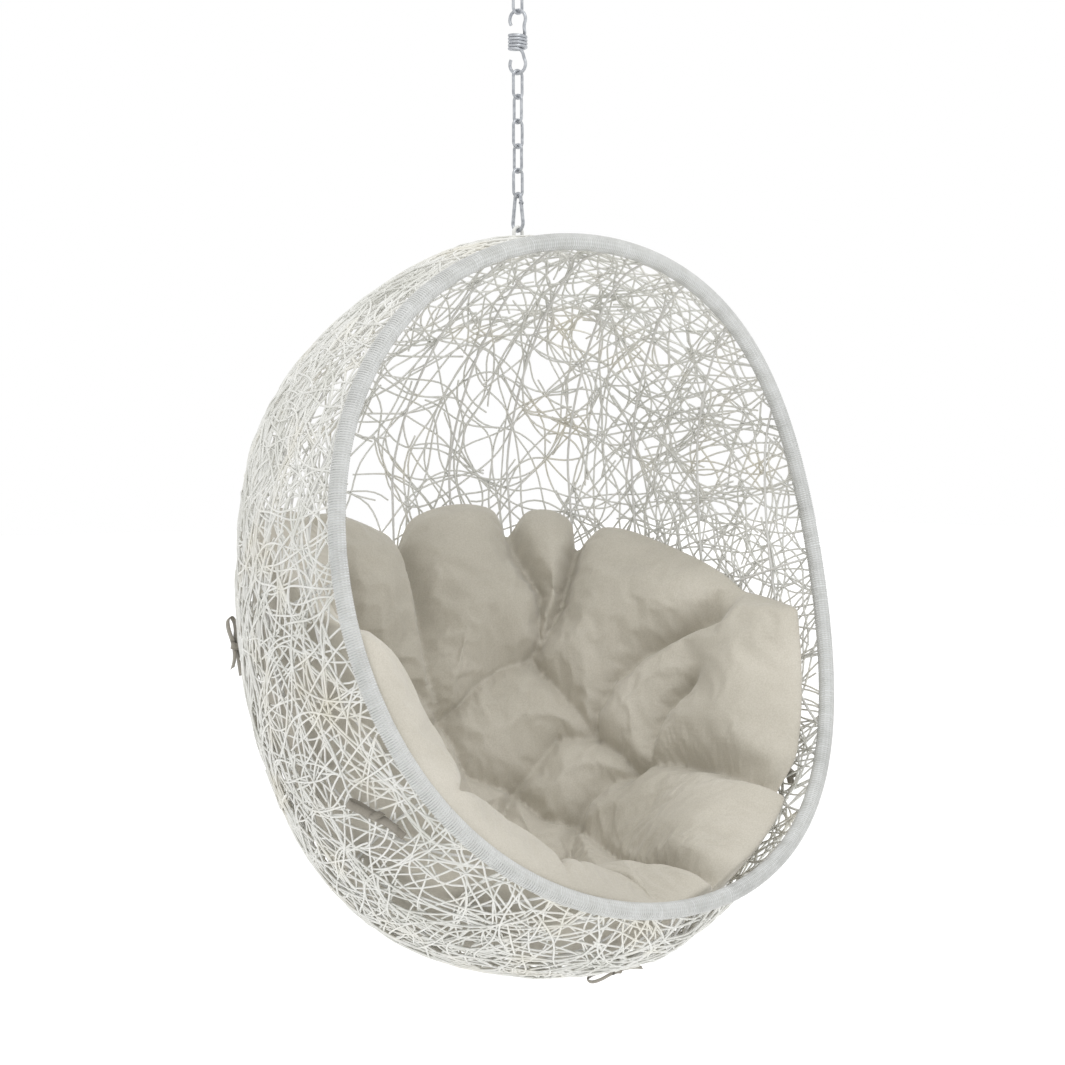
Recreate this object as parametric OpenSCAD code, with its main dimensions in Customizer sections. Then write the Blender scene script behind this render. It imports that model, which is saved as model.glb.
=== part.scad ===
// Hanging egg chair: an open basket of woven strand on a steel rim and ribs,
// hung from a chain, a spring and a snap hook, with a thick seat cushion.
// Millimetres, +Z up, the open side faces -Y.  The origin is the inside top of
// the uppermost link, where a ceiling hook carries the whole chair.

/* [Basket] */
// Half the width of the rim at mid height
rim_half_w = 515; // [480:5:540]
// Half the height of the rim
rim_half_h = 530; // [500:5:550]
// How much wider than an ellipse the top and bottom of the rim are
rim_egg = 65; // [40:5:90]
// Forward lean of the rim's lower half, as a slope
rim_lean = 0.227; // [0.15:0.01:0.3]
// Forward curl of the rim's ends, per metre of height
rim_curl = 0.299; // [0.2:0.01:0.35]
// Height of the basket's crown above the middle of the rim
crown_z = 552; // [545:1:560]
// Depth of the crown behind the middle of the rim
crown_y = 199; // [190:1:210]
// Depth of the basket's rear behind the middle of the rim
rear_y = 653; // [620:1:680]
// Height of the rearmost point
rear_z = 137; // [110:1:160]
// Depth of the lowest point behind the middle of the rim
base_y = 140; // [120:1:160]
// Height of the lowest point
base_z = -675; // [-700:1:-650]
// Thickness of the woven wall
weave_t = 2.6; // [2.4:0.1:8]

/* [Frame] */
// Diameter of the rim bar
rim_bar_d = 26; // [22:0.5:26]
// Outer diameter of the wrapped rim
rim_wrap_d = 28.2; // [27:0.1:30]
// Diameter of each rib
rib_d = 4.5; // [4:0.5:5]
// Ribs on each side
rib_count = 7; // [5:1:8]
// Angle between neighbouring ribs
rib_pitch = 13; // [10:0.5:13]
// Diameter of the ring rods
ring_d = 4.5; // [4:0.5:5]

/* [Suspension] */
// Depth of the hanging point behind the middle of the rim
hang_y = 205; // [195:1:215]
// Height of the hanging point above the middle of the rim
hang_z = 973; // [965:1:980]
// Wire diameter of a chain link
link_wire = 5; // [4.5:0.1:5.5]
// Inside length of a chain link
link_len = 41.3; // [38:0.1:44]
// Radius of a link's end, to the middle of the wire
link_r = 9.5; // [9:0.1:11]
// Chain links between the spring and the snap hook
link_count = 5; // [5:1:5]
// Running clearance where two links touch
gap = 0.2; // [0.1:0.05:0.3]
// Wire diameter of the spring
spring_wire = 5.5; // [5:0.1:6]
// Mean radius of the spring's coil
spring_r = 13.9; // [13:0.1:15]
// Radius of the spring's end hooks, to the middle of the wire
spring_hook_r = 15.5; // [14:0.1:16]
// Inside length of the spring from hook to hook
spring_len = 99.6; // [98:0.1:104]
// Wire diameter of the snap hook
hook_wire = 6; // [6:0.1:6.5]
// Bend radius of the snap hook's narrow end
hook_top_r = 7; // [7:0.1:8]
// Bend radius of the snap hook's wide end
hook_base_r = 13; // [12:0.1:14]
// Height of the snap hook between the middles of its two bends
hook_len = 62.4; // [60:0.1:66]

/* [Cushion] */
// Thickness of the cushion
cushion_t = 79; // [70:1:110]
// Half the angle that the cushion covers
cushion_reach = 70; // [60:1:74]
// Angle of the cushion's middle below the rear
cushion_tilt = 45; // [40:1:50]

/* [Colours] */
// Woven strand and rim wrap
strand_colour = "white"; // [white, ivory, grey]
// Seat cushion and its ties
cloth_colour = "tan"; // [tan, grey, ivory]

/* [Hidden] */
rib_names = [for (side = ["left", "right"], k = [1:rib_count]) str("rib_", side, "_", k)];
tie_names = ["tie_left_side", "tie_left_low", "tie_base", "tie_right_low", "tie_right_side"];
link_names = [for (k = [1:link_count]) str("chain_link_", k)];
$fn = 48;

// ---- basket shape, measured from the middle of the rim ----
rim_tuck = 7.6;
rim_skew = 12;
round_up = 1.567;
round_down = 2.573;
round_base = 1.85;
round_side = 0.867;
samples = 24;

function unit(v) = v / norm(v);
function rim_height(a) = rim_half_h * sin(a) - rim_tuck * cos(2 * a);
function rim_point(a) = let (z = rim_height(a)) [
    cos(a) * (rim_half_w + rim_skew * sin(a) + rim_egg * sin(a) * sin(a)),
    rim_lean * z - rim_curl * z * z / 1000,
    z];
rim_top = rim_point(90);
rim_base = rim_point(-90);

// A quarter of a superellipse in the Y-Z plane, from the flat end to the upright one
function quarter(flat, upright, power) = [for (i = [0:samples]) let (a = 90 * i / samples)
    [upright.x - (upright.x - flat.x) * (1 - pow(sin(a), 2 / power)),
     upright.y + (flat.y - upright.y) * pow(cos(a), 2 / power)]];
function backwards(list) = [for (i = [len(list) - 1:-1:0]) list[i]];
function tail(list) = [for (i = [1:len(list) - 1]) list[i]];

// The middle meridian from the rim's top over the crown, the rear and the base to its foot
crown = [crown_y, crown_z];
rear = [rear_y, rear_z];
base = [base_y, base_z];
meridian = concat(
    backwards(quarter(crown, [rim_top.y, rim_top.z], 2)),
    tail(quarter(crown, rear, round_up)),
    tail(backwards(quarter(base, rear, round_down))),
    tail(quarter(base, [rim_base.y, rim_base.z], round_base)));
rim_side = [for (i = [0:90]) rim_point(90 - 2 * i)];

function running(list) = [for (i = 0, s = 0; i < len(list);
    s = s + norm(list[min(i + 1, len(list) - 1)] - list[i]), i = i + 1) s];
function share(list) = let (s = running(list)) s / s[len(s) - 1];
function table(keys, list, axis) = [for (i = [0:len(list) - 1]) [keys[i], list[i][axis]]];
rim_share = share(rim_side);
meridian_share = share(meridian);
rim_x_table = table(rim_share, rim_side, 0);
rim_y_table = table(rim_share, rim_side, 1);
rim_z_table = table(rim_share, rim_side, 2);
back_y_table = table(meridian_share, meridian, 0);
back_z_table = table(meridian_share, meridian, 1);

// A point of the basket from a direction d on the rear half of a unit sphere
function basket_point(d) = let (
    t = acos(max(-1, min(1, d.z))) / 180,
    turn = atan2(d.x, d.y),
    out = pow(max(0, cos(turn)), round_side),
    side = sign(turn) * pow(abs(sin(turn)), round_side),
    ry = lookup(t, rim_y_table),
    rz = lookup(t, rim_z_table))
    [lookup(t, rim_x_table) * side,
     ry + (lookup(t, back_y_table) - ry) * out,
     rz + (lookup(t, back_z_table) - rz) * out];
function outward(d) = let (
    e = 0.02,
    u = unit(cross(abs(d.z) < 0.9 ? [0, 0, 1] : [1, 0, 0], d)),
    v = cross(d, u),
    a = basket_point(unit(d + e * u)) - basket_point(unit(d - e * u)),
    b = basket_point(unit(d + e * v)) - basket_point(unit(d - e * v)),
    m = unit(cross(a, b)))
    m * (m * d < 0 ? -1 : 1);
function skin(d, off) = basket_point(d) + off * outward(d);
function in_place(p) = p - [0, hang_y, hang_z];

// ---- swept rods ----
// Faces between rings of n points each; shut closes both ends with flat caps
function ring_faces(rings, n, first = 0) = [for (i = [0:rings - 2], j = [0:n - 1])
    let (a = first + i * n, b = a + n, k = (j + 1) % n)
    each [[a + j, a + k, b + j], [a + k, b + k, b + j]]];
function end_caps(rings, n) = [
    [for (j = [0:n - 1]) n - 1 - j],
    [for (j = [0:n - 1]) (rings - 1) * n + j]];
function along(path, i) = unit(path[min(i + 1, len(path) - 1)] - path[max(i - 1, 0)]);
function circle_at(p, dir, side, r, n) = let (
    s = unit(side - (side * dir) * dir), w = cross(dir, s))
    [for (j = [0:n - 1]) let (a = 360 * j / n) p + r * (cos(a) * s + sin(a) * w)];

module rod(path, sides, d, n = 6) {
    pts = [for (i = [0:len(path) - 1]) each circle_at(path[i], along(path, i), sides[i], d / 2, n)];
    polyhedron([for (p = pts) in_place(p)],
        [for (f = concat(ring_faces(len(path), n), end_caps(len(path), n))) backwards(f)]);
}

// ---- suspension, from the top down ----
link_pitch = link_len - gap;
z_spring_top = -link_len;
z_spring_foot = z_spring_top - spring_len;
z_hook_top = z_spring_foot - link_count * link_pitch;
spring_turn = -73;
coil_len = 31.4;
end_turn_drop = 0.2;
bead = 0.3; // weld bead where a straight meets a bend, over the wire
hook_head_z = z_hook_top + gap + hook_wire / 2;
hook_foot_z = hook_head_z - hook_len;
hook_slope = asin((hook_base_r - hook_top_r) / (hook_len - hook_top_r - hook_base_r));
hook_top_c = hook_head_z - hook_top_r;
hook_base_c = hook_foot_z + hook_base_r;
hook_side_len = (hook_len - hook_top_r - hook_base_r) * cos(hook_slope);

// Round bar bent through part of a circle in the X-Z plane
module bend(r, wire, from, to) {
    rotate([90, 0, 0]) rotate([0, 0, from])
        rotate_extrude(angle = to - from) translate([r, 0]) circle(d = wire, $fn = 24);
}

module link(z_top, wire, r, inside) {
    straight = inside - 2 * (r - wire / 2);
    translate([0, 0, z_top - (r - wire / 2)]) {
        bend(r, wire, 0, 180);
        translate([0, 0, -straight]) bend(r, wire, 180, 360);
        for (x = [-r, r]) translate([x, 0, -straight]) cylinder(d = wire, h = straight, $fn = 24);
    }
}

module top_link() {
    color("silver") link(0, link_wire, link_r, link_len);
}

module chain_link(k) {
    color("silver") rotate([0, 0, k % 2 == 1 ? 0 : 90])
        link(z_spring_foot + gap - (k - 1) * link_pitch, link_wire, link_r, link_len);
}

// One end of the spring: its hook, the stub into the coil and the end turn
module spring_end(centre_z, mouth_from, mouth_to, stub_a, turn_z) {
    color("silver") rotate([0, 0, spring_turn]) {
        translate([0, 0, centre_z]) bend(spring_hook_r, spring_wire, mouth_from, mouth_to);
        stub = [spring_hook_r * cos(stub_a), centre_z + spring_hook_r * sin(stub_a)];
        run = [spring_r - stub.x, turn_z - stub.y];
        translate([stub.x, 0, stub.y]) {
            sphere(d = spring_wire + bead, $fn = 24);
            rotate([0, atan2(run.x, run.y), 0]) cylinder(d = spring_wire, h = norm(run), $fn = 24);
        }
        translate([0, 0, turn_z]) rotate_extrude() translate([spring_r, 0])
            circle(d = spring_wire, $fn = 24);
    }
}

upper_ring_z = z_spring_top + gap + spring_wire / 2 - spring_hook_r;
lower_ring_z = z_spring_foot - spring_wire / 2 + spring_hook_r;
coil_mid_z = (upper_ring_z + lower_ring_z) / 2;
coil_top_z = coil_mid_z + coil_len / 2;

module spring_upper_hook() {
    spring_end(upper_ring_z, -68, 212, -68, coil_top_z + spring_wire / 2);
}

module spring_coil() {
    color("silver") translate([0, 0, coil_top_z - coil_len + end_turn_drop / 2])
        difference() {
            cylinder(r = spring_r + spring_wire / 2, h = coil_len - end_turn_drop);
            translate([0, 0, -1]) cylinder(r = spring_r - spring_wire / 2, h = coil_len + 2);
        }
}

module spring_lower_hook() {
    spring_end(lower_ring_z, -188, 68, 68, coil_top_z - coil_len - spring_wire / 2);
}

// ---- snap hook: narrow end up, wide end down, gate at the front ----
pin_s = 10;
pin_d = 2.5;
shoulder_s = 6;
gate_end_s = hook_side_len - 0.5;
tab_t = 2.4;
slot_t = 2.8;
gate_bore_d = 3.4;

// Places its children at the top of the gate side, with -Z running down the gate
module on_gate_side() {
    translate([0, 0, hook_top_c]) rotate([-hook_slope, 0, 0]) translate([0, -hook_top_r, 0])
        children();
}

module snap_hook() {
    color("silver") difference() {
        union() {
            rotate([0, 0, 90]) {
                translate([0, 0, hook_top_c]) bend(hook_top_r, hook_wire, hook_slope, 180 - hook_slope);
                translate([0, 0, hook_base_c]) bend(hook_base_r, hook_wire, 180 - hook_slope, 360 + hook_slope);
            }
            translate([0, 0, hook_top_c]) rotate([hook_slope, 0, 0]) translate([0, hook_top_r, 0]) {
                translate([0, 0, -hook_side_len]) {
                    cylinder(d = hook_wire, h = hook_side_len, $fn = 24);
                    sphere(d = hook_wire + bead, $fn = 24);
                }
                sphere(d = hook_wire + bead, $fn = 24);
            }
            on_gate_side() {
                sphere(d = hook_wire + bead, $fn = 24);
                translate([0, 0, -shoulder_s]) cylinder(d = hook_wire, h = shoulder_s, $fn = 24);
                translate([-tab_t / 2, -2.7, -pin_s]) cube([tab_t, 5.4, pin_s - shoulder_s + 1]);
                translate([-tab_t / 2, 0, -pin_s]) rotate([0, 90, 0]) cylinder(d = 5.4, h = tab_t);
            }
        }
        on_gate_side() translate([-5, 0, -pin_s]) rotate([0, 90, 0])
            cylinder(d = pin_d + 0.12, h = 10, $fn = 24);
    }
}

module snap_gate() {
    color("silver") on_gate_side() difference() {
        union() {
            translate([0, 0, -gate_end_s]) cylinder(d = hook_wire, h = gate_end_s - pin_s, $fn = 24);
            translate([-hook_wire / 2, 0, -pin_s]) rotate([0, 90, 0]) cylinder(d = hook_wire, h = hook_wire);
        }
        translate([-slot_t / 2, -5, -pin_s - 3.4]) cube([slot_t, 10, 10]);
        translate([-5, 0, -pin_s]) rotate([0, 90, 0]) cylinder(d = pin_d, h = 10, $fn = 24);
        translate([0, 0, -pin_s - 13]) cylinder(d = gate_bore_d, h = 12, $fn = 24);
    }
}

module gate_pin() {
    color("grey") on_gate_side() translate([-hook_wire / 2, 0, -pin_s]) rotate([0, 90, 0])
        cylinder(d = pin_d, h = hook_wire, $fn = 24);
}

module gate_spring() {
    color("grey") on_gate_side() translate([0, 0, -pin_s - 12.9]) difference() {
        cylinder(d = gate_bore_d - 0.4, h = 9, $fn = 24);
        translate([0, 0, -1]) cylinder(d = gate_bore_d - 1.4, h = 11, $fn = 24);
    }
}

// ---- hanging eye and the crown plate that it stands on ----
eye_wire = 6;
eye_r = 9;
eye_head_z = hook_foot_z + hook_wire / 2 + gap + eye_wire / 2;
plate_r = 22;
plate_t = 5;
plate_top_z = crown_z - hang_z + 2;

module hanging_eye() {
    leg = eye_head_z - eye_r - plate_top_z;
    color(strand_colour) translate([0, 0, eye_head_z - eye_r]) {
        bend(eye_r, eye_wire, 0, 180);
        for (x = [-eye_r, eye_r]) translate([x, 0, -leg]) cylinder(d = eye_wire, h = leg, $fn = 24);
    }
}

module crown_plate() {
    color(strand_colour) translate([0, 0, plate_top_z - plate_t]) cylinder(r = plate_r, h = plate_t);
}

// ---- rim ----
rim_steps = 64;
butt = 0.1;
rim_path = [for (i = [0:rim_steps]) rim_point(-90 + butt + (360 - 2 * butt) * i / rim_steps)];
rim_sides = [for (i = [0:rim_steps]) let (t = along(rim_path, i)) cross(t, [0, 1, 0])];

module rim_bar() {
    color(strand_colour) rod(rim_path, rim_sides, rim_bar_d, 12);
}

// A sleeve of wound strand round the bar, from one side of its butt weld to the other
module rim_wrap() {
    n = 12;
    inner = [for (i = [0:rim_steps])
        each circle_at(rim_path[i], along(rim_path, i), rim_sides[i], rim_bar_d / 2 + 0.05, n)];
    outer = [for (i = [0:rim_steps])
        each circle_at(rim_path[i], along(rim_path, i), rim_sides[i], rim_wrap_d / 2, n)];
    half = len(inner);
    last = rim_steps * n;
    ends = [for (j = [0:n - 1]) let (k = (j + 1) % n) each [
        [half + j, half + k, j], [half + k, k, j],
        [last + j, last + k, half + last + j], [last + k, half + last + k, half + last + j]]];
    color(strand_colour) polyhedron([for (p = concat(inner, outer)) in_place(p)],
        concat(ring_faces(rim_steps + 1, n),
            [for (f = ring_faces(rim_steps + 1, n, half)) backwards(f)], ends));
}

// ---- ribs: each lies in an upright plane that fans out from the middle ----
rib_off = -8.5;
rib_steps = 24;
rib_first = 5.5;
rib_edge = 0.01;

function rib_direction(k, u) = let (
    turn = rib_first + rib_pitch * (k - 1),
    start = 0.015 + 0.985 * (1 - cos(0.97 * turn)),
    line = [sin(turn) - start, cos(turn)],
    s0 = rib_edge / line.y,
    r0 = norm([start, 0] + s0 * line),
    z = -sin(asin(sqrt(1 - r0 * r0)) * u),
    r = sqrt(1 - z * z),
    b = start * line.x,
    c = start * start - r * r,
    q = line * line,
    s = (-b + sqrt(max(0, b * b - q * c))) / q)
    unit([start + s * line.x, s * line.y, z]);

module rib(side, k) {
    dirs = [for (i = [0:rib_steps]) let (d = rib_direction(k, 2 * i / rib_steps - 1))
        [side * d.x, d.y, d.z]];
    color(strand_colour) rod([for (d = dirs) skin(d, rib_off)], [for (d = dirs) outward(d)], rib_d);
}

// ---- ring rods: level with the rim's own slope, tied inside the ribs ----
ring_off = -16.5;
ring_steps = 26;

module ring_rod(t) {
    edge = 1.2;
    dirs = [for (i = [0:ring_steps]) let (a = (90 - edge) * (2 * i / ring_steps - 1))
        [sin(a) * sin(180 * t), cos(a) * sin(180 * t), cos(180 * t)]];
    color(strand_colour) rod([for (d = dirs) skin(d, ring_off)], [for (d = dirs) outward(d)], ring_d);
}

// ---- woven shell: rows of cells from the rim to the rear, one cell left out at the crown ----
shell_rows = [88.7, 84, 78.1, 73.9, 67, 59, 51, 43, 35, 27, 19, 11, 4];
shell_cols = 48;
crown_row = 2;

function shell_direction(i, j) = let (a = 90 + (j - 0.5) * 360 / shell_cols, b = shell_rows[i])
    [cos(a) * sin(b), cos(b), sin(a) * sin(b)];
function open_cell(i, j) = i < 0 || i >= len(shell_rows) - 1 || (i == crown_row && j == 0);
function shell_cell(i, j, skin_size) = let (
    k = (j + 1) % shell_cols,
    a = i * shell_cols + j, b = i * shell_cols + k, c = a + shell_cols, d = b + shell_cols,
    near = (j + shell_cols - 1) % shell_cols, s = skin_size)
    concat(
        [[a, b, d], [a, d, c], [s + a, s + d, s + b], [s + a, s + c, s + d]],
        open_cell(i - 1, j) ? [[b, a, s + a], [b, s + a, s + b]] : [],
        open_cell(i + 1, j) && i < len(shell_rows) - 2 ? [[c, d, s + d], [c, s + d, s + c]] : [],
        open_cell(i, near) ? [[a, c, s + c], [a, s + c, s + a]] : [],
        open_cell(i, k) ? [[d, b, s + b], [d, s + b, s + d]] : []);

module woven_shell() {
    rows = len(shell_rows);
    pole = rows * shell_cols;
    skin_size = pole + 1;
    dirs = concat([for (i = [0:rows - 1], j = [0:shell_cols - 1]) shell_direction(i, j)], [[0, 1, 0]]);
    pts = concat([for (d = dirs) skin(d, weave_t / 2)], [for (d = dirs) skin(d, -weave_t / 2)]);
    cells = [for (i = [0:rows - 2], j = [0:shell_cols - 1])
        each open_cell(i, j) ? [] : shell_cell(i, j, skin_size)];
    rear_fan = [for (j = [0:shell_cols - 1]) let (
        a = (rows - 1) * shell_cols + j, b = (rows - 1) * shell_cols + (j + 1) % shell_cols)
        each [[a, b, pole], [skin_size + a, skin_size + pole, skin_size + b]]];
    color(strand_colour) polyhedron([for (p = pts) in_place(p)], concat(cells, rear_fan));
}

// ---- cushion: a round pad pressed into the lower rear of the basket ----
cushion_off = 21;
cushion_rows = [0.2, 0.4, 0.6, 0.76, 0.88, 0.95, 0.985];
cushion_cols = 36;
rim_margin = 3;

function cushion_edge(a) = let (
    p = cos(cushion_tilt), q = sin(cushion_tilt) * sin(a), h = norm([p, q]))
    min(cushion_reach, atan2(q, p) + acos(sin(rim_margin) / h));
function cushion_direction(a, f) = let (
    r = f * cushion_edge(a), s = sin(r), c = cos(r), p = cos(cushion_tilt), q = sin(cushion_tilt))
    [s * cos(a), c * p + s * sin(a) * q, -c * q + s * sin(a) * p];
function pad_depth(f, power) = cushion_t / 2 * sqrt(max(0, 1 - pow(f, power)));

module cushion() {
    rows = len(cushion_rows);
    n = cushion_cols;
    ring = function (f, off) [for (j = [0:n - 1]) skin(cushion_direction(360 * j / n, f), off)];
    mid = -cushion_off - cushion_t / 2;
    inner = [for (f = cushion_rows) each ring(f, mid - pad_depth(f, 6))];
    outer = [for (f = backwards(cushion_rows)) each ring(f, mid + pad_depth(f, 12))];
    pts = concat(inner, ring(1, mid), outer,
        [skin(cushion_direction(0, 0), mid - cushion_t / 2), skin(cushion_direction(0, 0), mid + cushion_t / 2)]);
    total = 2 * rows + 1;
    last = (total - 1) * n;
    ends = [for (j = [0:n - 1]) let (k = (j + 1) % n)
        each [[j, total * n, k], [last + j, last + k, total * n + 1]]];
    color(cloth_colour) polyhedron([for (p = pts) in_place(p)], concat(ring_faces(total, n), ends));
}

// ---- ribbon ties, knotted outside the weave ----
tie_w = 13;
tie_t = 2.4;
tie_off = weave_t / 2 + 1.5;

// Stands its children on the outside of the basket in direction d, turned by spin
module on_basket(d, spin) {
    p = in_place(skin(d, tie_off));
    m = outward(d);
    translate(p) rotate([0, acos(m.z), atan2(m.y, m.x)]) rotate([0, 0, spin]) children();
}

module ribbon_loop(reach) {
    linear_extrude(tie_w) difference() {
        union() {
            translate([reach, tie_t + 6]) circle(r = 6 + tie_t / 2);
            translate([0, 6 - tie_t / 2 + 0.6]) square([reach, 2 * tie_t + 5.6]);
        }
        translate([reach, tie_t + 6]) circle(r = 6 - tie_t / 2);
        translate([6, 6 + tie_t / 2 + 0.6]) square([reach - 6, 5.6]);
    }
}

module tie(d, spin) {
    color(cloth_colour) on_basket(d, spin) {
        translate([-7, -tie_w / 2, 0]) cube([14, tie_w, 11]);
        for (a = [0, 180]) rotate([0, 0, a]) {
            translate([5, tie_w / 2, -3.5]) rotate([90, 0, 0]) ribbon_loop(24);
            rotate([0, 0, 35]) translate([3, -tie_w / 2, 0]) cube([46, tie_w, tie_t]);
        }
    }
}

tie_places = [[-0.68, 0.73, 0.04], [-0.82, 0.12, -0.55], [0.13, 0.4, -0.91], [0.82, 0.12, -0.55],
    [0.68, 0.73, 0.04]];
tie_spins = [70, 20, 80, -20, -70];

top_link();
spring_upper_hook();
spring_coil();
spring_lower_hook();
for (k = [1:link_count]) chain_link(k);
snap_hook();
snap_gate();
gate_pin();
gate_spring();
hanging_eye();
crown_plate();
rim_bar();
rim_wrap();
for (k = [1:rib_count]) rib(-1, k);
for (k = [1:rib_count]) rib(1, k);
ring_rod(0.49);  // ring_rod_upper
ring_rod(0.7);  // ring_rod_lower
woven_shell();
cushion();
for (i = [0:4]) tie(unit(tie_places[i]), tie_spins[i]);
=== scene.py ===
"""Hanging egg chair: a woven basket with a tufted cushion, on a spring, a chain and a snap hook."""

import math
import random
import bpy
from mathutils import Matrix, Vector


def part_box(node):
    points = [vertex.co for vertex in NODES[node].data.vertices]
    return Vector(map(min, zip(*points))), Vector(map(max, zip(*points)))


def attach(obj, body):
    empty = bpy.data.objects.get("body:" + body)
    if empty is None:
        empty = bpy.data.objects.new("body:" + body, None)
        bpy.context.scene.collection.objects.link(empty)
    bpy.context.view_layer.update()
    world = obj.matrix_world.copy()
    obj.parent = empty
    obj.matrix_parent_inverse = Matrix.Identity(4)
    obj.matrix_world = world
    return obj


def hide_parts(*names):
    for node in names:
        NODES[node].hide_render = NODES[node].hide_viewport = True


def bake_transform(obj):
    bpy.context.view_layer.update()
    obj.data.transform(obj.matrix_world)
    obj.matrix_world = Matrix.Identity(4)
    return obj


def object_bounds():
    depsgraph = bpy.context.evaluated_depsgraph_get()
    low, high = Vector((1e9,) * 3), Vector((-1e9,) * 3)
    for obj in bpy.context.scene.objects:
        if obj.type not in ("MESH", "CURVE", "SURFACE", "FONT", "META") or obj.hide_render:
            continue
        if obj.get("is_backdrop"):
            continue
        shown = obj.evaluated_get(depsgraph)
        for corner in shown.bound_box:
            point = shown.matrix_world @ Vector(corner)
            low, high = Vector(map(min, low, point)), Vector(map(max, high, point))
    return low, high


bl_info = {
    "name": "Hanging Egg Chair",
    "version": (1, 0, 0),
    "blender": (4, 5, 0),
    "location": "View3D > Sidebar > Egg Chair",
    "description": "Dresses the packed frame of a hanging egg chair in strand, rod and cushion",
    "category": "Object",
}

import bmesh
import bpy
import numpy as np
from mathutils import Matrix, Vector

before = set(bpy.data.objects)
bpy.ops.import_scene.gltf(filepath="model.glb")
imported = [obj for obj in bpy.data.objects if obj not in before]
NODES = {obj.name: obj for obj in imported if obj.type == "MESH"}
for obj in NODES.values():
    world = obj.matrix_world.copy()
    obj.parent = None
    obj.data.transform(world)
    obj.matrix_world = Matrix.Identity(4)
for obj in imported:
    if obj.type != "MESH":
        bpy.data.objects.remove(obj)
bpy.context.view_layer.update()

LINKS = ["top_link"] + [f"chain_link_{k}" for k in range(1, 6)]

# The basket's shape, in metres from the middle of its rim
HANG_POINT = np.array([0.0, 0.205, 0.973])
RIM_HALF_WIDTH = 0.515
RIM_HALF_HEIGHT = 0.530
RIM_EGG = 0.065
RIM_SKEW = 0.012
RIM_TUCK = 0.0076
RIM_LEAN = 0.227
RIM_CURL = 0.299
CROWN = (0.199, 0.552)
REAR = (0.653, 0.137)
BASE = (0.140, -0.675)
ROUND_UP, ROUND_DOWN, ROUND_BASE, ROUND_SIDE = 1.567, 2.573, 1.85, 0.867


# ---------------------------------------------------------------- colours and nodes


def linear(hex_colour):
    """An sRGB hex colour as linear RGBA."""
    parts = [int(hex_colour[i : i + 2], 16) / 255 for i in (1, 3, 5)]
    return [p / 12.92 if p <= 0.04045 else ((p + 0.055) / 1.055) ** 2.4 for p in parts] + [1.0]


def add_node(tree, kind, settings=None, links=None):
    """Adds a node; settings are its properties or input values, links its inputs' sources."""
    node = tree.nodes.new(kind)
    for key, value in (settings or {}).items():
        if isinstance(key, str) and hasattr(node, key) and key not in node.inputs:
            setattr(node, key, value)
        else:
            node.inputs[key].default_value = value
    for key, source in (links or {}).items():
        tree.links.new(source, node.inputs[key])
    return node


def new_material(name):
    """A material with an empty tree but for its output: returns it, its tree and the output."""
    material = bpy.data.materials.new(name)
    material.use_nodes = True
    tree = material.node_tree
    tree.nodes.clear()
    return material, tree, tree.nodes.new("ShaderNodeOutputMaterial")


def dress(piece, material):
    """Gives a piece one material in every slot."""
    piece.data.materials.clear()
    piece.data.materials.append(material)


def ramp(tree, source, stops):
    """A colour ramp over a factor, from (place, hex colour) stops."""
    node = add_node(tree, "ShaderNodeValToRGB", links={"Fac": source})
    elements = node.color_ramp.elements
    while len(elements) < len(stops):
        elements.new(0.5)
    for element, (place, colour) in zip(elements, stops):
        element.position = place
        element.color = linear(colour)
    return node.outputs["Color"]


def strand_material(name, light, shade, grime):
    """Extruded polyethylene strand: satin, finely grained, with slight toning."""
    material, tree, out = new_material(name)
    place = add_node(tree, "ShaderNodeTexCoord").outputs["Object"]
    toning = add_node(tree, "ShaderNodeTexNoise", {"Scale": 9.0, "Detail": 3.0}, {"Vector": place})
    speck = add_node(tree, "ShaderNodeTexNoise", {"Scale": 60.0, "Detail": 2.0}, {"Vector": place})
    tone = ramp(tree, toning.outputs["Fac"], [(0.3, shade), (0.52, light), (0.8, grime)])
    soft = ramp(tree, speck.outputs["Fac"], [(0.35, "#f1f1ef"), (0.6, "#ffffff")])
    mixed = add_node(
        tree, "ShaderNodeMix", {"data_type": "RGBA", "blend_type": "MULTIPLY", 0: 0.6}, {6: tone, 7: soft}
    )
    # The grain is finer than a millimetre, so that it only breaks up the shine
    grain = add_node(tree, "ShaderNodeTexNoise", {"Scale": 800.0, "Detail": 2.0}, {"Vector": place})
    bump = add_node(
        tree, "ShaderNodeBump", {"Strength": 0.12, "Distance": 0.0004}, {"Height": grain.outputs["Fac"]}
    )
    shader = add_node(
        tree,
        "ShaderNodeBsdfPrincipled",
        {"Roughness": 0.42, "IOR": 1.5},
        {"Base Color": mixed.outputs[2], "Normal": bump.outputs["Normal"]},
    )
    tree.links.new(shader.outputs[0], out.inputs["Surface"])
    return material


def coated_material(name, light, shade):
    """Powder-coated steel rod: even satin skin with fine orange peel."""
    material, tree, out = new_material(name)
    place = add_node(tree, "ShaderNodeTexCoord").outputs["Object"]
    cloud = add_node(tree, "ShaderNodeTexNoise", {"Scale": 14.0, "Detail": 3.0}, {"Vector": place})
    tone = ramp(tree, cloud.outputs["Fac"], [(0.35, shade), (0.65, light)])
    peel = add_node(tree, "ShaderNodeTexNoise", {"Scale": 900.0, "Detail": 1.0}, {"Vector": place})
    bump = add_node(
        tree, "ShaderNodeBump", {"Strength": 0.1, "Distance": 0.0003}, {"Height": peel.outputs["Fac"]}
    )
    shader = add_node(
        tree,
        "ShaderNodeBsdfPrincipled",
        {"Roughness": 0.45, "IOR": 1.5},
        {"Base Color": tone, "Normal": bump.outputs["Normal"]},
    )
    tree.links.new(shader.outputs[0], out.inputs["Surface"])
    return material


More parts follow.
